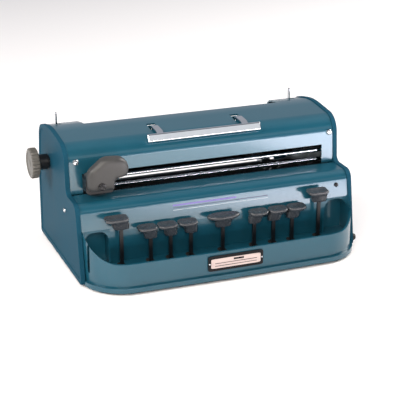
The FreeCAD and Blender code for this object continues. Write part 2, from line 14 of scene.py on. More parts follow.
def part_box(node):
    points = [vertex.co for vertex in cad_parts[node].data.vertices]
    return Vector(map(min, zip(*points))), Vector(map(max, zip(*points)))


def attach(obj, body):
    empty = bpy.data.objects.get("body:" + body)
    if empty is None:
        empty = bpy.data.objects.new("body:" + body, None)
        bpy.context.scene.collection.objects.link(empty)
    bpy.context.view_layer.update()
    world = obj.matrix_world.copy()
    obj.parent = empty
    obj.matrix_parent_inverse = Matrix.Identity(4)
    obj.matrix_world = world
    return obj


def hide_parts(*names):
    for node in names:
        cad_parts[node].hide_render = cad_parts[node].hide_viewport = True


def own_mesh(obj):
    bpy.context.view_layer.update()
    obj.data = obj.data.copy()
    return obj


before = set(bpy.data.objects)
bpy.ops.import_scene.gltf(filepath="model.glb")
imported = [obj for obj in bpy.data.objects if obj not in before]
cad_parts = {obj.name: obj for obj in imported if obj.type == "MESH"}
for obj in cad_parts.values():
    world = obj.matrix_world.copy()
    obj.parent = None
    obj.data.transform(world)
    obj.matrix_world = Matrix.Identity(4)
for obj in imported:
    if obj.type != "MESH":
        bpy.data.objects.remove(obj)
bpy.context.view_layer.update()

logging.basicConfig(level=logging.INFO, format="%(message)s")
log = logging.getLogger("braille_writer")

MM = 0.001
Corner = tuple[float, float, float]


class Side(Enum):
    """A side of the machine, as the sign of X."""

    LEFT = -1
    RIGHT = 1

    @property
    def word(self) -> str:
        """The side's name as it appears in node names."""
        return self.name.lower()


class Slot(Enum):
    """Material slots of the machine."""

    ENAMEL = "case_enamel"
    HANDLE = "chrome_handle"
    RAIL = "chrome_rail"
    BRIGHT = "bright_steel"
    PLATED = "plated_steel"
    SPRING = "spring_steel"
    BLACK = "black_steel"
    KEY = "key_plastic"
    LEVER = "lever_plastic"
    KNOB = "knob_plastic"
    RUBBER = "black_rubber"
    ROLLER = "roller_rubber"
    PLATE = "plate_aluminium"
    BRASS = "bell_brass"


# ---------------------------------------------------------------- materials

def linear(hex_code: str) -> tuple[float, float, float, float]:
    """Turn an sRGB hex colour into linear light.

    Args:
        hex_code: Six hex digits with a leading hash.

    Returns:
        Red, green, blue and an alpha of one.
    """
    channels = [int(hex_code[i:i + 2], 16) / 255 for i in (1, 3, 5)]
    light = [c / 12.92 if c <= 0.04045 else ((c + 0.055) / 1.055) ** 2.4 for c in channels]
    return (light[0], light[1], light[2], 1.0)


def add_node(tree: bpy.types.NodeTree, kind: str, settings: dict | None = None,
             values: dict | None = None, links: dict | None = None) -> bpy.types.Node:
    """Add a shader node.

    Args:
        tree: The tree that gets the node.
        kind: The node's type name.
        settings: Attributes of the node.
        values: Socket defaults, by socket name or index.
        links: Output sockets to join to this node's inputs, by input name or index.

    Returns:
        The new node.
    """
    node = tree.nodes.new(kind)
    for name, value in (settings or {}).items():
        setattr(node, name, value)
    for name, value in (values or {}).items():
        node.inputs[name].default_value = value
    for name, source in (links or {}).items():
        tree.links.new(source, node.inputs[name])
    return node


@dataclass(frozen=True)
class Finish:
    """One surface: what it is made of and how its face was made.

    The shade wanders between two colours over `patch_mm`; `grain_mm` is the size of the fine
    relief and `relief_mm` its height; roughness wanders by `rough_range`.
    """

    name: str
    colour: str
    second: str
    roughness: float
    metallic: float = 0.0
    coat: float = 0.0
    coat_roughness: float = 0.05
    ior: float = 1.5
    specular: float = 0.5
    rough_range: float = 0.05
    patch_mm: float = 40.0
    grain_mm: float = 1.0
    relief_mm: float = 0.01
    stretch: tuple[float, float, float] = (1.0, 1.0, 1.0)
    cells: bool = False

    def build(self) -> bpy.types.Material:
        """Make the node material.

        Returns:
            The material, ready to assign.
        """
        material = bpy.data.materials.new(self.name)
        material.use_nodes = True
        tree = material.node_tree
        shader = tree.nodes["Principled BSDF"]
        shader.inputs["Metallic"].default_value = self.metallic
        shader.inputs["Coat Weight"].default_value = self.coat
        shader.inputs["Coat Roughness"].default_value = self.coat_roughness
        shader.inputs["Specular IOR Level"].default_value = self.specular
        if self.metallic < 0.5:
            shader.inputs["IOR"].default_value = self.ior
        place = add_node(tree, "ShaderNodeTexCoord")
        scaled = add_node(tree, "ShaderNodeMapping", values={"Scale": self.stretch},
                          links={"Vector": place.outputs["Object"]})
        patch = add_node(tree, "ShaderNodeTexNoise",
                         values={"Scale": 1 / (self.patch_mm * MM), "Detail": 3.0},
                         links={"Vector": scaled.outputs["Vector"]})
        tint = add_node(tree, "ShaderNodeMix", {"data_type": "RGBA"},
                        {"A": linear(self.colour), "B": linear(self.second)},
                        {"Factor": patch.outputs["Fac"]})
        tree.links.new(tint.outputs["Result"], shader.inputs["Base Color"])
        grain_scale = 1 / (self.grain_mm * MM)
        if self.cells:
            grain = add_node(tree, "ShaderNodeTexVoronoi", {"feature": "SMOOTH_F1"},
                             {"Scale": grain_scale, "Smoothness": 1.0},
                             {"Vector": scaled.outputs["Vector"]})
            height = grain.outputs["Distance"]
        else:
            grain = add_node(tree, "ShaderNodeTexNoise",
                             values={"Scale": grain_scale, "Detail": 2.0},
                             links={"Vector": scaled.outputs["Vector"]})
            height = grain.outputs["Fac"]
        low = max(self.roughness - self.rough_range, 0.02)
        rough = add_node(tree, "ShaderNodeMapRange",
                         values={"To Min": low, "To Max": self.roughness + self.rough_range},
                         links={"Value": patch.outputs["Fac"]})
        tree.links.new(rough.outputs["Result"], shader.inputs["Roughness"])
        bump = add_node(tree, "ShaderNodeBump",
                        values={"Distance": self.relief_mm * MM, "Strength": 1.0},
                        links={"Height": height})
        tree.links.new(bump.outputs["Normal"], shader.inputs["Normal"])
        if self.coat:
            tree.links.new(bump.outputs["Normal"], shader.inputs["Coat Normal"])
        return material


# Gloss stoved enamel on sheet and die-cast aluminium: deep blue-green with a little flake
# under a clear hard gloss, and a faint hammered ripple.
ENAMEL = Finish("gloss stoved enamel on aluminium", "#13495c", "#195264", 0.3, metallic=0.2,
                coat=0.7, coat_roughness=0.11, specular=0.3, patch_mm=70, grain_mm=3.2,
                relief_mm=0.012, cells=True)
# The same enamel on the side panels, in a darker colour that is painted shade for the side faces;
# it is satin with a weak specular so the sides do not mirror the bright floor.
SIDE_SHADE_ENAMEL = Finish("stoved enamel darkened as painted side shade", "#143e50", "#1b475a", 0.5,
                     specular=0.03, patch_mm=60, grain_mm=1.6, relief_mm=0.02, cells=True)
# Bright chrome plate on steel: mirror gloss with faint polishing haze.
CHROME = Finish("chrome plate on steel", "#e4e6ea", "#d6d9df", 0.07, metallic=1.0,
                rough_range=0.03, patch_mm=12, grain_mm=0.8, relief_mm=0.001)
# Bright zinc plate on sheet steel: pale, a little streaked along the rolling direction.
ZINC = Finish("bright zinc plate on rolled steel", "#aeb3b8", "#8f959b", 0.30, metallic=1.0,
              rough_range=0.08, patch_mm=9, grain_mm=0.6, relief_mm=0.004,
              stretch=(0.15, 1.0, 1.0))
# Turned and polished steel of small screws and levers.
BRIGHT = Finish("polished steel", "#c9ccd0", "#b4b8bd", 0.18, metallic=1.0, patch_mm=4,
                grain_mm=0.5, relief_mm=0.002)
# Black oxide on steel bar: near black, satin, with browner worn patches.
OXIDE = Finish("black oxide on steel bar", "#0b0c0f", "#17161a", 0.36, metallic=0.3, coat=0.15,
               coat_roughness=0.2, patch_mm=6, grain_mm=0.5, relief_mm=0.004)
# Moulded ABS of the key caps: charcoal, semi-gloss, polished by fingers.
KEY_ABS = Finish("moulded charcoal ABS", "#2b2e33", "#3a3d42", 0.27, coat=0.35,
                 coat_roughness=0.15, rough_range=0.09, patch_mm=7, grain_mm=0.45,
                 relief_mm=0.006)
# Moulded glass-filled nylon of the head lever: dark grey and matt.
NYLON = Finish("moulded grey nylon", "#2c2c2d", "#3b3b3a", 0.46, rough_range=0.08, patch_mm=9,
               grain_mm=0.6, relief_mm=0.02)
# Moulded phenolic of the feed knobs: warm dark grey with a dull gloss.
PHENOLIC = Finish("moulded phenolic", "#4c4a46", "#5b5953", 0.42, coat=0.1, coat_roughness=0.3,
                  patch_mm=8, grain_mm=0.5, relief_mm=0.012)
# Moulded nitrile rubber of feet and bumper.
RUBBER = Finish("moulded nitrile rubber", "#101012", "#1a1a1b", 0.62, patch_mm=6, grain_mm=0.4,
                relief_mm=0.02)
# Ground rubber sleeve of the feed roller: dull with a fine ground grain round it.
GROUND = Finish("ground roller rubber", "#1b1b1c", "#262626", 0.7, patch_mm=15, grain_mm=0.5,
                relief_mm=0.02, stretch=(3.0, 1.0, 1.0))
# Turned brass of the margin bell.
BRASS = Finish("turned brass", "#b08d4a", "#9b7a3c", 0.25, metallic=1.0, patch_mm=6,
               grain_mm=0.4, relief_mm=0.003)
# Satin anodised aluminium of the blank name plate.
SATIN = Finish("satin anodised aluminium", "#d6c4bf", "#bfaeac", 0.35, metallic=0.6,
               rough_range=0.1, patch_mm=5, grain_mm=0.5, relief_mm=0.004,
               stretch=(0.1, 1.0, 1.0))
# Black screen-printed ink on the plate.
INK = Finish("black printed ink", "#0d0d10", "#15151a", 0.5, specular=0.2, patch_mm=5, grain_mm=0.5,
             relief_mm=0.002)
# Screen-printed inks of the deck's rules: thin, even and satin.
LILAC_INK = Finish("lilac screen ink", "#6a5fa6", "#766bb0", 0.4, patch_mm=8, grain_mm=0.5,
                   relief_mm=0.002)
NAVY_INK = Finish("navy screen ink", "#1d2547", "#252e55", 0.4, patch_mm=8, grain_mm=0.5,
                  relief_mm=0.002)
PALE_INK = Finish("pale screen ink", "#b9c6cf", "#c6d2da", 0.4, patch_mm=8, grain_mm=0.5,
                  relief_mm=0.002)


class FinishShelf:
    """Builds each finish once and hands out its material."""

    def __init__(self) -> None:
        """Start with an empty shelf."""
        self.made: dict[str, bpy.types.Material] = {}

    def get(self, finish: Finish) -> bpy.types.Material:
        """The material of a finish, made at its first use."""
        if finish.name not in self.made:
            self.made[finish.name] = finish.build()
        return self.made[finish.name]


SHELF = FinishShelf()


# ---------------------------------------------------------------- mesh helpers

def rounded_points(corners: Sequence[Corner], steps: int, fill: int) -> list[Vector]:
    """Sample a closed outline whose corners are all rounded.

    Args:
        corners: Corners as u, v and radius, in millimetres.
        steps: Arc segments at each corner.
        fill: Segments of each straight run.

    Returns:
        Points in metres, in the plane's own u and v.
    """
    count = len(corners)
    runs: list[list[Vector]] = []
    for index, (u, v, radius) in enumerate(corners):
        here = Vector((u, v))
        back = (Vector(corners[index - 1][:2]) - here).normalized()
        onward = (Vector(corners[(index + 1) % count][:2]) - here).normalized()
        half = back.angle(onward) / 2
        reach = radius / math.tan(half)
        centre = here + (back + onward).normalized() * (radius / math.sin(half))
        first = here + back * reach - centre
        turn = math.pi - 2 * half
        sense = 1 if first.x * (onward.y) - first.y * onward.x > 0 else -1
        arc = []
        for step in range(steps + 1):
            spin = Matrix.Rotation(sense * turn * step / steps, 2)
            arc.append(centre + spin @ first)
        runs.append(arc)
    points: list[Vector] = []
    for index, run in enumerate(runs):
        points.extend(run)
        start, end = run[-1], runs[(index + 1) % count][0]
        points.extend(start.lerp(end, part / fill) for part in range(1, fill))
    return [point * MM for point in points]


def loft(rings: Sequence[Sequence[Vector]]) -> bmesh.types.BMesh:
    """A closed solid through rings of points, extruded from one ring to the next.

    Args:
        rings: Closed rings of equally many points.

    Returns:
        The mesh.
    """
    bm = bmesh.new()
    row = [bm.verts.new(point) for point in rings[0]]
    count = len(row)
    edges = [bm.edges.new((row[i], row[(i + 1) % count])) for i in range(count)]
    bm.faces.new(row)
    for ring in rings[1:]:
        made = bmesh.ops.extrude_edge_only(bm, edges=edges)["geom"]
        fresh = [item for item in made if isinstance(item, bmesh.types.BMVert)]
        follows = {}
        for vert in fresh:
            for edge in vert.link_edges:
                other = edge.other_vert(vert)
                if other in row:
                    follows[other] = vert
        row = [follows[vert] for vert in row]
        for vert, point in zip(row, ring):
            vert.co = point
        edges = [bm.edges.get((row[i], row[(i + 1) % count])) for i in range(count)]
    bm.faces.new(row)
    return bm


def shade(bm: bmesh.types.BMesh, sharp_degrees: float) -> None:
    """Smooth faces, with edges sharper than an angle kept crisp."""
    limit = math.radians(sharp_degrees)
    for face in bm.faces:
        face.smooth = True
    for edge in bm.edges:
        edge.smooth = edge.calc_face_angle(0.0) < limit


@dataclass
class Piece:
    """Options of a finished piece.

    `body` is what it rides on, `stands_for` the CAD nodes it replaces.
    """

    name: str
    body: str
    finish: Finish
    slot: Slot
    stands_for: tuple[str, ...] = ()
    sharp: float = 35.0
    bevel_mm: float = 0.0
    bevel_steps: int = 3

    def make(self, bm: bmesh.types.BMesh, outward: bool = True) -> bpy.types.Object:
        """Turn a mesh into the finished object.

        Args:
            bm: The mesh, in metres and in place. It is used up.
            outward: Whether to recalculate the normals.

        Returns:
            The object, dressed and riding on its body.
        """
        if outward:
            bmesh.ops.recalc_face_normals(bm, faces=bm.faces)
        shade(bm, self.sharp)
        mesh = bpy.data.meshes.new(self.name)
        bm.to_mesh(mesh)
        bm.free()
        obj = bpy.data.objects.new(self.name, mesh)
        bpy.context.scene.collection.objects.link(obj)
        mesh.materials.append(SHELF.get(self.finish))
        if self.bevel_mm:
            bevel = obj.modifiers.new("rounded edges", "BEVEL")
            bevel.width = self.bevel_mm * MM
            bevel.segments = self.bevel_steps
            bevel.limit_method = "ANGLE"
            bevel.angle_limit = math.radians(self.sharp)
            bevel.harden_normals = True
        flats = obj.modifiers.new("true flats", "WEIGHTED_NORMAL")
        flats.keep_sharp = True
        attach(obj, self.body)
        if self.stands_for:
            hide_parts(*self.stands_for)
        log.info("%s: %d faces on %s", self.name, len(mesh.polygons), self.body)
        return obj


def copy_of(node: str) -> bmesh.types.BMesh:
    """A merged copy of a CAD node's mesh with its flat faces made whole.

    Args:
        node: The node's name.

    Returns:
        The mesh.
    """
    bm = bmesh.new()
    bm.from_mesh(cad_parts[node].data)
    bmesh.ops.remove_doubles(bm, verts=bm.verts, dist=2e-6)
    bmesh.ops.dissolve_limit(bm, angle_limit=math.radians(0.4), verts=bm.verts, edges=bm.edges)
    return bm


def dress_copy(node: str, body: str, finish: Finish, slot: Slot, bevel_mm: float = 0.0,
               steps: int = 3, sharp: float = 35.0) -> bpy.types.Object:
    """Replace a CAD node with a merged copy whose edges are rounded.

    Args:
        node: The node's name.
        body: The body it belongs to.
        finish: Its surface.
        slot: Its material slot; not used.
        bevel_mm: Width of the rounding.
        steps: Segments of the rounding.
        sharp: Edges sharper than this are crisp or rounded.

    Returns:
        The piece.
    """
    piece = Piece(f"{node}.finished", body, finish, slot, (node,), sharp, bevel_mm, steps)
    return piece.make(copy_of(node), outward=False)


def join_into(target: bmesh.types.BMesh, extra: bmesh.types.BMesh) -> None:
    """Add one mesh to another and free it."""
    spare = bpy.data.meshes.new("spare")
    extra.to_mesh(spare)
    extra.free()
    target.from_mesh(spare)
    bpy.data.meshes.remove(spare)


def turned(profile: Sequence[tuple[float, float]], origin: Vector, axis: Vector,
           segments: int = 48) -> bmesh.types.BMesh:
    """A turned solid.

    Args:
        profile: Distance along the axis and radius, in millimetres, from axis to axis.
        origin: Where distance is zero, in metres.
        axis: Direction of the axis.
        segments: Steps round it.

    Returns:
        The mesh.
    """
    bm = bmesh.new()
    across = axis.orthogonal().normalized()
    verts = [bm.verts.new(origin + axis * (along * MM) + across * (radius * MM))
             for along, radius in profile]
    edges = [bm.edges.new(pair) for pair in zip(verts, verts[1:])]
    bmesh.ops.spin(bm, geom=[*verts, *edges], cent=origin, axis=axis, angle=math.tau,
                   steps=segments, use_merge=True, use_duplicate=False)
    bmesh.ops.remove_doubles(bm, verts=bm.verts, dist=1e-6)
    return bm


def superellipse(half_u: float, half_v: float, power: float, count: int = 32) -> list[Vector]:
    """A rounded rectangle as a superellipse, in millimetres."""
    points = []
    for step in range(count):
        angle = math.tau * step / count
        c, s = math.cos(angle), math.sin(angle)
        u = half_u * math.copysign(abs(c) ** (2 / power), c)
        v = half_v * math.copysign(abs(s) ** (2 / power), s)
        points.append(Vector((u, v)))
    return points


# ---------------------------------------------------------------- the case

@dataclass
class Case:
    """Painted casting and sheet covers of the machine, and what is fixed to them."""

    stem_y: float = -71.0
    floor_z: float = 20.0
    deck_top: tuple[float, float] = (-56.4, 93.0)
    deck_foot: tuple[float, float] = (-63.7, 49.0)
    cover_screw_x: tuple[float, float] = (-159.0, 162.0)
    cover_screw_z: float = 131.0
    foot_x: float = 148.0
    foot_y: tuple[float, float] = (-52.0, 88.0)
    stems: tuple[float, ...] = (-123.6, -88.8, -64.6, -39.8, 0.0, 39.8, 64.6, 88.8, 123.6)

    def build(self) -> None:
        """Build every piece of the case."""
        self.covers()
        self.stem_bushes()
        self.name_plate()
        self.deck_rules()
        self.screws()
        self.feet()

    def covers(self) -> None:
        """Side panels, top cover and rear cover with softly rounded edges."""
        for side in Side:
            # the side panels take the darker copy of the enamel: painted shade
            dress_copy(f"{side.word}_side_panel", "casing", SIDE_SHADE_ENAMEL, Slot.ENAMEL, 1.1, 4, 40)
        dress_copy("top_cover", "casing", ENAMEL, Slot.ENAMEL, 0.7, 3, 40)
        dress_copy("rear_cover", "casing", ENAMEL, Slot.ENAMEL, 0.5, 3, 40)
        dress_copy("keyboard_housing", "casing", ENAMEL, Slot.ENAMEL, 1.0, 4, 40)

    def stem_bushes(self) -> None:
        """Black bushes round the key stems, standing on the well floor."""
        bm = bmesh.new()
        for x in self.stems:
            rings = []
            for inset, z in ((0, 0.0), (0, 0.8), (0.5, 1.4), (1.4, 1.4), (1.6, 0.2)):
                flat = superellipse(4.6 - inset, 7.6 - inset, 4, 24)
                rings.append([Vector((x + p.x, self.stem_y + p.y, self.floor_z + z)) * MM
                              for p in flat])
            join_into(bm, loft(rings))
        Piece("stem_bushes", "casing", RUBBER, Slot.RUBBER, (), 30).make(bm)

    def name_plate(self) -> None:
        """Blank plate: black printed ground, a satin field, printed bars and two bright rivets."""
        low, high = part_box("name_plate")
        width = high.x - low.x
        tall = high.z - low.z
        centre = (low + high) / 2
        layers = (
            ("name_plate_ground", INK, 0.0, low.y, 1.2, ("name_plate",)),
            ("name_plate_field", SATIN, 3.4, low.y - 0.35 * MM, 0.6, ()),
        )
        for name, finish, inset, face_y, thick, stands_for in layers:
            flat = superellipse(width / MM / 2 - inset, tall / MM / 2 - inset, 14, 64)
            rings = []
            for pull, depth in ((0.0, thick), (0.0, 0.3), (0.15, 0.08), (0.4, 0.0)):
                scale_u = 1 - pull / (width / MM / 2)
                scale_v = 1 - pull / (tall / MM / 2)
                rings.append([Vector((centre.x + p.x * scale_u * MM, face_y + depth * MM,
                                      centre.z + p.y * scale_v * MM)) for p in flat])
            bm = loft(rings)
            Piece(name, "casing", finish, Slot.PLATE, stands_for, 30).make(bm)
        bars = bmesh.new()
        field_face = low.y - 0.35 * MM
        for row, (start, end) in enumerate(((-0.1, 0.32), (-0.86, 0.86), (-0.86, 0.86))):
            z = centre.z + (3.4 - 3.2 * row) * MM
            tall_bar = 2.2 if row == 0 else 0.7
            box_low = Vector((centre.x + start * (width / 2 - 4 * MM), field_face - 0.05 * MM,
                              z - tall_bar * MM / 2))
            box_high = Vector((centre.x + end * (width / 2 - 4 * MM), field_face + 0.05 * MM,
                               z + tall_bar * MM / 2))
            block = bmesh.new()
            bmesh.ops.create_cube(block, size=1.0)
            bmesh.ops.scale(block, vec=box_high - box_low, verts=block.verts)
            bmesh.ops.translate(block, vec=(box_low + box_high) / 2, verts=block.verts)
            join_into(bars, block)
        Piece("name_plate_bars", "casing", INK, Slot.PLATE, (), 30).make(bars)
        rivets = bmesh.new()
        for sign in (-1, 1):
            spot = Vector((centre.x + sign * (width / 2 - 1.8 * MM), low.y, centre.z))
            join_into(rivets, turned([(0, 0), (0, 1.1), (0.35, 0.9), (0.6, 0)], spot,
                                     Vector((0, -1, 0)), 20))
        Piece("name_plate_rivets", "casing", BRIGHT, Slot.BRIGHT, (), 30).make(rivets)

    def deck_point(self, x: float, z: float, proud: float) -> Vector:
        """A point on the deck's sloping face, in metres.

        Args:
            x: Distance from the middle in millimetres.
            z: Height in millimetres.
            proud: How far it stands off the face in millimetres.

        Returns:
            The point.
        """
        top_y, top_z = self.deck_top
        foot_y, foot_z = self.deck_foot
        y = top_y + (z - top_z) * (foot_y - top_y) / (foot_z - top_z)
        return Vector((x, y - proud, z)) * MM

    def deck_rules(self) -> None:
        """Thin printed rules along the deck's face."""
        rules = (
            ("deck_rule_lilac", LILAC_INK, -57.0, 22.0, 78.6, 80.4),
            ("deck_rule_navy", NAVY_INK, -57.0, 62.0, 76.2, 77.0),
            ("deck_rule_pale", PALE_INK, -57.0, 62.0, 73.8, 74.3),
        )
        for name, ink, left, right, low, high in rules:
            rings = []
            for x in (left, right):
                rings.append([self.deck_point(x, low, 0.06), self.deck_point(x, high, 0.06),
                              self.deck_point(x, high, -0.2), self.deck_point(x, low, -0.2)])
            bm = loft(rings)
            Piece(name, "casing", ink, Slot.ENAMEL, (), 30).make(bm)

    def screws(self) -> None:
        """Slotted cover screws, side rivets and the deck's black screw."""
        bright = bmesh.new()
        for sign, x in zip((-1, 1), self.cover_screw_x):
            spot = Vector((x, -16.4, self.cover_screw_z)) * MM
            join_into(bright, slotted_screw(spot, Vector((0, -1, 0.09)).normalized(), 3.4, 2.4))
            side = Vector((sign * 171.7, -8.5, 72)) * MM
            join_into(bright, turned([(0, 0), (0, 2.6), (0.9, 2.3), (1.5, 1.2), (1.6, 0)], side,
                                     Vector((sign, 0, 0)), 28))
        Piece("cover_screws.finished", "casing", BRIGHT, Slot.BRIGHT, ("cover_screws",),
              30).make(bright)
        spot = Vector((152.3, -58.6, 78)) * MM
        dark = slotted_screw(spot, Vector((0, -1, 0.16)).normalized(), 2.6, 1.8)
        Piece("deck_screw.finished", "casing", OXIDE, Slot.BLACK, ("deck_screw",), 30).make(dark)

    def feet(self) -> None:
        """Rubber feet and the bumper on the right side."""
        feet = bmesh.new()
        for x in (-self.foot_x, self.foot_x):
            for y in self.foot_y:
                spot = Vector((x, y, 0)) * MM
                profile = [(0, 0), (0, 8.2), (0.6, 8.8), (3, 9), (3, 0)]
                join_into(feet, turned(profile, spot, Vector((0, 0, 1)), 36))
        Piece("rubber_feet.finished", "casing", RUBBER, Slot.RUBBER, ("rubber_feet",),
              30).make(feet)
        low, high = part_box("side_bumper")
        spot = Vector((low.x, (low.y + high.y) / 2, (low.z + high.z) / 2))
        profile = [(0, 0), (0, 4.5), (2.6, 4.4), (4.6, 3.4), (5.4, 1.6), (5.5, 0)]
        Piece("side_bumper.finished", "casing", RUBBER, Slot.RUBBER, ("side_bumper",),
              30).make(turned(profile, spot, Vector((1, 0, 0)), 32))


def slotted_screw(spot: Vector, axis: Vector, radius: float, tall: float) -> bmesh.types.BMesh:
    """A cheese-head screw with a slot.

    Args:
        spot: Centre of the head's underside, in metres.
        axis: Direction the head faces.
        radius: Head radius in millimetres.
        tall: Head height in millimetres.

    Returns:
        The mesh.
    """
    profile = [(-1.0, 0), (-1.0, radius), (tall * 0.6, radius), (tall * 0.9, radius * 0.82),
               (tall, radius * 0.6), (tall, radius * 0.3), (tall, 0)]
    bm = turned(profile, spot, axis, 32)
    across = axis.orthogonal().normalized()
    for vert in bm.verts:
        off = vert.co - spot
        if off.dot(axis) > tall * 0.7 * MM and abs(off.dot(across)) < radius * 0.2 * MM:
            vert.co -= axis * (tall * 0.5 * MM)
    return bm


# ---------------------------------------------------------------- moving parts

@dataclass
class KeyBoard:
    """Nine keys: black steel stems with flared moulded caps."""

    plans: tuple[tuple[str, float, float, float, float], ...] = (
        ("line_space", -123.6, -6.0, 27.5, 65.5),
        ("dot_3", -88.8, -4.5, 23.2, 50.0),
        ("dot_2", -64.6, -4.5, 23.2, 50.0),
        ("dot_1", -39.8, -4.5, 23.2, 50.0),
        ("spacer", 0.0, 0.0, 40.0, 51.5),
        ("dot_4", 39.8, 4.5, 23.2, 50.0),
        ("dot_5", 64.6, 4.5, 23.2, 50.0),
        ("dot_6", 88.8, 4.5, 23.2, 50.0),
        ("backspace", 123.6, -3.0, 26.0, 65.5),
    )

    def build(self) -> None:
        """Build every key."""
        for name, x, shift, wide, base in self.plans:
            body = f"{name}_key"
            dress_copy(f"{body}_lever", body, OXIDE, Slot.BLACK, 0.35, 2)
            self.cap(name, body, x, shift, wide, base)

    def cap(self, name: str, body: str, x: float, shift: float, wide: float,
            base: float) -> None:
        """One cap: a neck round the stem that flares to a dished finger plate."""
        square = name in ("line_space", "backspace")
        wing = name == "spacer"
        power = 5.0 if square else (2.2 if wing else 3.4)
        half = wide / 2
        depth = 7.4
        foot = 9.4 if square else (9.6 if wing else 7.6)
        levels = (
            (0.0, foot - 1.2, 4.2, 0.0), (0.4, foot - 0.3, 5.2, 0.0), (3.0, foot + 0.4, 5.9, 0.1),
            (8.0, foot + 1.0, 6.4, 0.25), (10.2, half * 0.84, 7.0, 0.8),
            (11.4, half * 0.95, depth, 0.95), (12.4, half, depth + 0.4, 1.0),
            (13.8, half, depth + 0.3, 1.0), (14.5, half - 0.5, depth - 0.2, 1.0),
            (14.7, half - 1.6, depth - 1.3, 1.0), (14.1, half * 0.62, depth * 0.58, 1.0),
            (13.8, half * 0.25, depth * 0.22, 1.0),
        )
        rings = []
        for z, half_u, half_v, follow in levels:
            flat = superellipse(half_u, half_v, power if z > 9 else 2.4, 36)
            lean = -3.0 * z / 14.6
            rings.append([
                Vector((x + shift * follow + p.x, -71.6 + lean * 0.5 + p.y,
                        base + z + (p.y / depth) * 0.9 * follow)) * MM
                for p in flat
            ])
        bm = loft(rings)
        Piece(f"{body}_cap.finished", body, KEY_ABS, Slot.KEY, (f"{body}_cap",), 50).make(bm)


@dataclass
class Feed:
    """Feed roller with its knobs, and the pressure roller under it."""

    axis_y: float = 57.0
    axis_z: float = 111.0
    knob_radius: float = 18.4
    ribs: int = 24
    rib_mm: float = 0.6

    def build(self) -> None:
        """Build the rollers and both knobs."""
        for side in Side:
            self.knob(side)
        dress_copy("feed_roller", "feed_roller", GROUND, Slot.ROLLER, 0.4, 2)
        dress_copy("roller_shaft", "feed_roller", ZINC, Slot.PLATED, 0.3, 2)
        dress_copy("line_ratchet_wheel", "feed_roller", ZINC, Slot.PLATED, 0.15, 2)
        # the plated pressure roller is given black oxide as painted shade inside the slot
        dress_copy("pressure_roller", "pressure_roller", OXIDE, Slot.PLATED, 0.3, 2)

    def knob(self, side: Side) -> None:
        """One ribbed knob and its black hub, which is partly a real collar and partly painted shadow
        of the knob on the side panel.
        """
        node = f"{side.word}_feed_knob"
        out = Vector((side.value, 0, 0))
        spot = Vector((0, self.axis_y, self.axis_z)) * MM
        count = self.ribs * 8
        levels = ((186.0, 0.62), (186.0, 0.93), (186.7, 0.985), (187.7, 1.0), (193.6, 1.0),
                  (194.8, 0.975), (195.4, 0.93), (195.4, 0.80), (194.7, 0.76), (194.7, 0.30),
                  (195.1, 0.26), (195.1, 0.05))
        rings = []
        for along, share in levels:
            ring = []
            for step in range(count):
                angle = math.tau * step / count
                ripple = self.rib_mm * math.cos(self.ribs * angle) if share > 0.95 else 0.0
                radius = (self.knob_radius - self.rib_mm) * share + ripple
                ring.append(spot + out * (along * MM) + Vector((0, math.cos(angle),
                                                                 math.sin(angle))) * radius * MM)
            rings.append(ring)
        bm = loft(rings)
        Piece(f"{node}.disc", "feed_roller", PHENOLIC, Slot.KNOB, (node,), 30).make(bm)
        # black hub: partly the knob's collar, partly painted shadow of the knob on the side panel
        profile = [(173.0, 0), (173.0, 8.6), (173.6, 9.3), (184.6, 9.5), (185.6, 8.8),
                   (186.2, 8.0), (186.2, 0)]
        Piece(f"{node}.hub_and_shadow", "feed_roller", OXIDE, Slot.KNOB, (), 30).make(
            turned(profile, spot, out, 48))


@dataclass
class Carriage:
    """Carriage on its rails with the front block and the head lever."""

    pivot: tuple[float, float] = (-138.0, 110.0)
    lever_outline: tuple[Corner, ...] = (
        (-153, 103, 7), (-153, 127, 12), (-134, 142.5, 16), (-104.5, 140.5, 14),
        (-105, 119, 8), (-121.5, 116, 7), (-122.5, 103, 3))
    lever_centre: tuple[float, float] = (-130.0, 124.0)

    def build(self) -> None:
        """Build the carriage, its lever and the rails it runs on."""
        dress_copy("upper_rail", "casing", CHROME, Slot.RAIL, 0.2, 2)
        dress_copy("lower_rail", "casing", CHROME, Slot.RAIL, 0.2, 2)
        dress_copy("carriage_slide", "carriage", ZINC, Slot.PLATED, 0.4, 2)
        dress_copy("embossing_head", "carriage", ZINC, Slot.PLATED, 0.3, 2)
        dress_copy("carriage_block", "carriage", OXIDE, Slot.LEVER, 1.6, 4)
        self.lever()
        self.pivot_screw()

    def lever(self) -> None:
        """The arched finger lever: one outline that domes forward."""
        flat = [point / MM for point in rounded_points(self.lever_outline, steps=10, fill=3)]
        centre = Vector(self.lever_centre)
        rings = []
        for share, y in ((0.96, -38.4), (1.0, -38.9), (1.0, -43.0), (0.985, -45.4),
                         (0.95, -47.2), (0.88, -48.7), (0.78, -49.6), (0.62, -50.1),
                         (0.4, -50.25), (0.15, -50.3)):
            rings.append([Vector((centre.x + (point.x - centre.x) * share, y,
                                  centre.y + (point.y - centre.y) * share)) * MM
                          for point in flat])
        bm = loft(rings)
        Piece("head_lever.finished", "head_lever", NYLON, Slot.LEVER, ("head_lever",),
              45).make(bm)

    def pivot_screw(self) -> None:
        """Slotted screw on which the lever turns."""
        x, z = self.pivot
        head = slotted_screw(Vector((x, -50.6, z)) * MM, Vector((0, -1, 0)), 4.3, 1.4)
        Piece("lever_pivot_screw.finished", "carriage", OXIDE, Slot.BLACK,
              ("lever_pivot_screw",), 30).make(head)


@dataclass
class CarryHandle:
    """Chrome bar and its two flat arms."""

    def build(self) -> None:
        """Round the edges of the bar and arms."""
        dress_copy("handle_bar", "handle", CHROME, Slot.HANDLE, 0.8, 4)
        dress_copy("handle_arms", "handle", CHROME, Slot.HANDLE, 0.5, 3)
        dress_copy("handle_brackets", "casing", ZINC, Slot.PLATED, 0.3, 2)


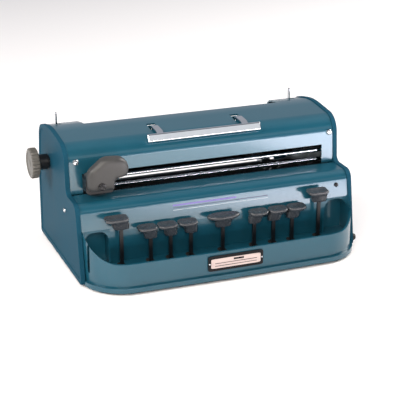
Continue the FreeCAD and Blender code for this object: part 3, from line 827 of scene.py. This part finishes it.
@dataclass
class Works:
    """Inner works that show through the slot, the notch and the rear."""

    plated: tuple[str, ...] = (
        "left_frame_plate", "right_frame_plate", "key_guide_comb", "key_pivot_shaft",
        "tie_plate", "margin_rail")
    # plated parts inside the slot given black oxide as painted shade, so they sink into the slot's
    # darkness
    darkened_as_shade: tuple[str, ...] = ("escapement_rack", "paper_guide")
    movers: tuple[tuple[str, Finish, Slot], ...] = (
        ("left_paper_lever", BRIGHT, Slot.BRIGHT),
        ("right_paper_lever", BRIGHT, Slot.BRIGHT),
        ("left_margin_stop", ZINC, Slot.PLATED),
        ("right_margin_stop", ZINC, Slot.PLATED),
        ("carriage_spring_drum", ZINC, Slot.PLATED),
    )
    spring_y: float = -25.0
    spring_foot: float = 4.5
    spring_top: float = 11.45
    spring_radius: float = 2.1
    spring_wire: float = 0.35
    spring_turns: int = 4
    spring_slack: float = 0.1

    def build(self) -> None:
        """Dress the inner pieces, and wind a real coil for each return spring."""
        for name in self.plated:
            dress_copy(name, "casing", ZINC, Slot.PLATED, 0.25, 2)
        for name in self.darkened_as_shade:
            dress_copy(name, "casing", OXIDE, Slot.PLATED, 0.25, 2)
        dress_copy("margin_bell", "casing", BRASS, Slot.BRASS, 0.5, 3)
        dress_copy("base_plate", "casing", ENAMEL, Slot.ENAMEL, 0.4, 2)
        for name, finish, slot in self.movers:
            dress_copy(name, name, finish, slot, 0.35, 2)
        self.springs()

    def springs(self) -> None:
        """A coil spring under each key lever."""
        tall = self.spring_top - self.spring_foot
        rise = tall - 2 * self.spring_wire
        steps = self.spring_turns * 16
        for name, x, *_ in KeyBoard.plans:
            rings = []
            for step in range(steps + 1):
                angle = math.tau * step / 16
                z = self.spring_foot + self.spring_wire + rise * step / steps
                radial = Vector((math.cos(angle), math.sin(angle), 0))
                middle = Vector((x, self.spring_y, z)) + radial * self.spring_radius
                rings.append([(middle + radial * self.spring_wire * math.cos(a)
                               + Vector((0, 0, self.spring_wire * math.sin(a)))) * MM
                              for a in (math.tau * side / 6 for side in range(6))])
            spring = Piece(f"{name}_return_spring", "casing", ZINC, Slot.SPRING,
                           ("key_return_springs",), 60).make(loft(rings))
            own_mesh(spring)


# ---------------------------------------------------------------- the studio

@dataclass
class Studio:
    """Pale floor, soft light and the camera."""

    azimuth: float = -21.2
    elevation: float = 20.5
    distance: float = 1.514
    target: tuple[float, float, float] = (0.0073, 0.021, 0.050)
    lens: float = 110.7

    def build(self) -> None:
        """Build floor, light and camera."""
        bpy.context.scene.view_settings.view_transform = "Standard"
        self.floor()
        self.world()
        self.lights()
        self.camera()

    def floor(self) -> None:
        """A large pale floor."""
        bm = bmesh.new()
        bmesh.ops.create_grid(bm, x_segments=1, y_segments=1, size=6.0)
        mesh = bpy.data.meshes.new("studio_floor")
        bm.to_mesh(mesh)
        bm.free()
        floor = bpy.data.objects.new("studio_floor", mesh)
        bpy.context.scene.collection.objects.link(floor)
        material = bpy.data.materials.new("white studio paper")
        material.use_nodes = True
        shader = material.node_tree.nodes["Principled BSDF"]
        shader.inputs["Base Color"].default_value = linear("#f4f3f4")
        shader.inputs["Roughness"].default_value = 0.9
        mesh.materials.append(material)

    def world(self) -> None:
        """Dim surroundings ahead that brighten overhead and behind."""
        world = bpy.data.worlds.new("studio")
        world.use_nodes = True
        tree = world.node_tree
        place = add_node(tree, "ShaderNodeTexCoord")
        axes = add_node(tree, "ShaderNodeSeparateXYZ", links={"Vector": place.outputs["Generated"]})
        lift = add_node(tree, "ShaderNodeMath", {"operation": "MULTIPLY_ADD"}, {1: 0.8},
                        {0: axes.outputs["Z"], 2: axes.outputs["Y"]})
        share = add_node(tree, "ShaderNodeMapRange", {"interpolation_type": "SMOOTHSTEP"},
                         {"From Min": -0.2, "From Max": 0.8}, {"Value": lift.outputs["Value"]})
        shade_mix = add_node(tree, "ShaderNodeMix", {"data_type": "RGBA"},
                             {"A": linear("#33424e"), "B": linear("#c2c4cc")},
                             {"Factor": share.outputs["Result"]})
        background = tree.nodes["Background"]
        tree.links.new(shade_mix.outputs["Result"], background.inputs["Color"])
        background.inputs["Strength"].default_value = 0.75
        bpy.context.scene.world = world

    def lamp(self, name: str, spot: Sequence[float], aim: Sequence[float], size: tuple[float, float],
             power: float, colour: str) -> None:
        """One soft box.

        Args:
            name: The lamp's name.
            spot: Where it stands, in metres.
            aim: The point it faces.
            size: Width and height in metres.
            power: Watts.
            colour: Light colour as hex.
        """
        data = bpy.data.lights.new(name, "AREA")
        data.shape = "RECTANGLE"
        data.size, data.size_y = size
        data.energy = power
        data.color = linear(colour)[:3]
        lamp = bpy.data.objects.new(name, data)
        lamp.location = spot
        lamp.visible_camera = False
        lamp.rotation_euler = (Vector(aim) - Vector(spot)).to_track_quat("-Z", "Y").to_euler()
        bpy.context.scene.collection.objects.link(lamp)

    def lights(self) -> None:
        """Boxes at both sides, glowing tables ahead, a fill for the well and a handle card."""
        aim = (0, 0, 0.05)
        self.lamp("left_box", (-1.7, -0.2, 1.35), aim, (1.2, 1.2), 44, "#fffaf4")
        self.lamp("right_box", (1.9, 0.2, 1.35), aim, (1.2, 1.2), 52, "#fffaf4")
        self.lamp("near_table", (0.45, -1.2, 0.01), (0.45, -1.2, 1), (1.2, 1.5), 20, "#fff2ea")
        self.lamp("right_table", (1.0, -1.3, 0.014), (1.0, -1.3, 1), (1.3, 1.9), 95, "#f6f2ff")
        self.lamp("well_fill", (-0.5, -1.2, 0.85), aim, (0.8, 0.5), 17, "#fff6ec")
        self.lamp("handle_card", (0.72, -1.75, 0.95), (0, 0, 0.14), (1.6, 0.4), 1.7, "#ffffff")

    def camera(self) -> None:
        """Camera at the viewing angle."""
        turn = math.radians(self.azimuth)
        rise = math.radians(self.elevation)
        ahead = Vector((-math.sin(turn) * math.cos(rise), math.cos(turn) * math.cos(rise),
                        -math.sin(rise)))
        data = bpy.data.cameras.new("camera")
        data.lens = self.lens
        data.sensor_width = 36.0
        data.clip_start = 0.05
        data.clip_end = 50
        camera = bpy.data.objects.new("camera", data)
        camera.location = Vector(self.target) - ahead * self.distance
        camera.rotation_euler = ahead.to_track_quat("-Z", "Y").to_euler()
        bpy.context.scene.collection.objects.link(camera)
        bpy.context.scene.camera = camera


def main() -> None:
    """Build the machine piece by piece, then the studio."""
    assemblies = (Case(), KeyBoard(), Feed(), Carriage(), CarryHandle(), Works(), Studio())
    for assembly in assemblies:
        log.info("building %s", type(assembly).__name__)
        assembly.build()


if __name__ == "__main__":
    main()
